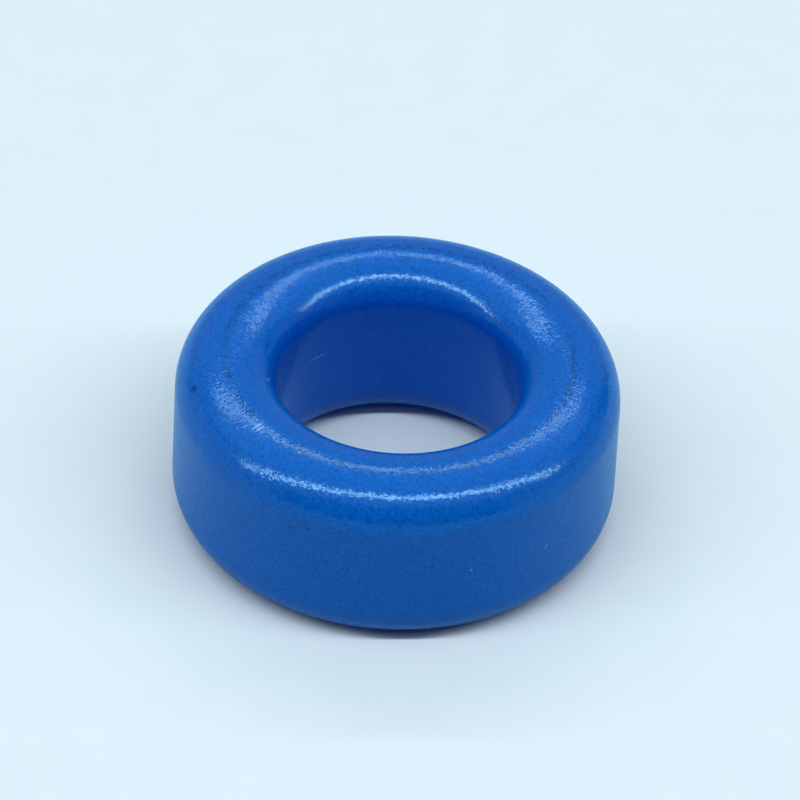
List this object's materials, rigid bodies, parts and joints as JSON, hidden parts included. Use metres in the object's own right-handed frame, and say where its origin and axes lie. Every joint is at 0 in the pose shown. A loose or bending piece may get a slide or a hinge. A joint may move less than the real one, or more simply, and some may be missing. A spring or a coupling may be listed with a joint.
{
  "type": "ferrite toroid core",
  "caption": "Low ring core with a straight round bore, unequal rounded edges and a semi-gloss blue epoxy coat, to be wound with wire or slipped over a lead.",
  "frame": {"origin": "centre of the ring, on the plane that its lower face rests on", "axes": "+Z along the bore, up, from the lower face to the upper; X and Y lie across the ring, and any turn about Z looks the same"},
  "size_m": [0.0104, 0.0104, 0.0044],
  "materials": {
    "epoxy_coat": "semi-gloss blue epoxy coat with fine orange peel, over pressed ferrite"
  },
  "bodies": {
    "root": {"core": "epoxy_coat"}
  },
  "joints": []
}
